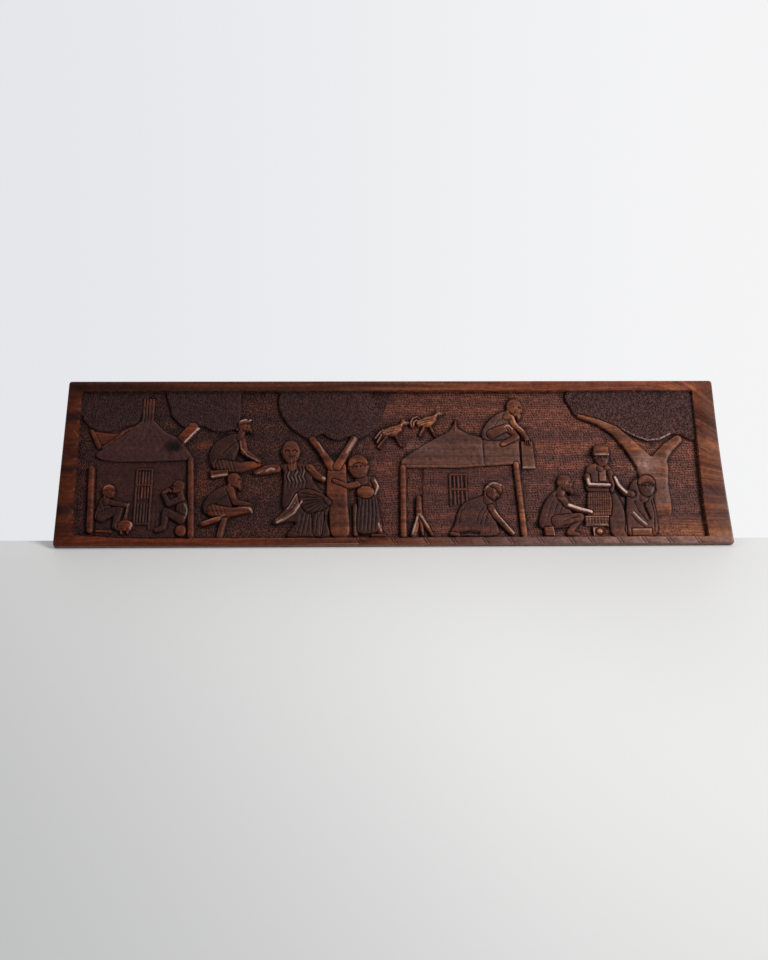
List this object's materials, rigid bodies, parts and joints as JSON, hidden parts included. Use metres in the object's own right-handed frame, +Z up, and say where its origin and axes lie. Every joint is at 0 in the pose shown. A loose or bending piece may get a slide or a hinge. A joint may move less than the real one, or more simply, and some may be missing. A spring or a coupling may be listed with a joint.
{
  "type": "carved wall panel",
  "caption": "Long hardwood board carved in relief with a village scene inside plain rims, hung flat on a wall.",
  "frame": {"origin": "centre of the flat back face, where the panel lies against the wall", "axes": "+X along the board to the viewer's right, +Z up, +Y into the wall, so the carved face looks along -Y"},
  "size_m": [0.9399, 0.0161, 0.254],
  "materials": {
    "dark_hardwood": "dark reddish-brown hardwood with lengthwise orange and near-black streaks, hand-rubbed to a satin sheen, darker in the tooled ground"
  },
  "bodies": {
    "root": {"carved_panel": "dark_hardwood"}
  },
  "joints": []
}
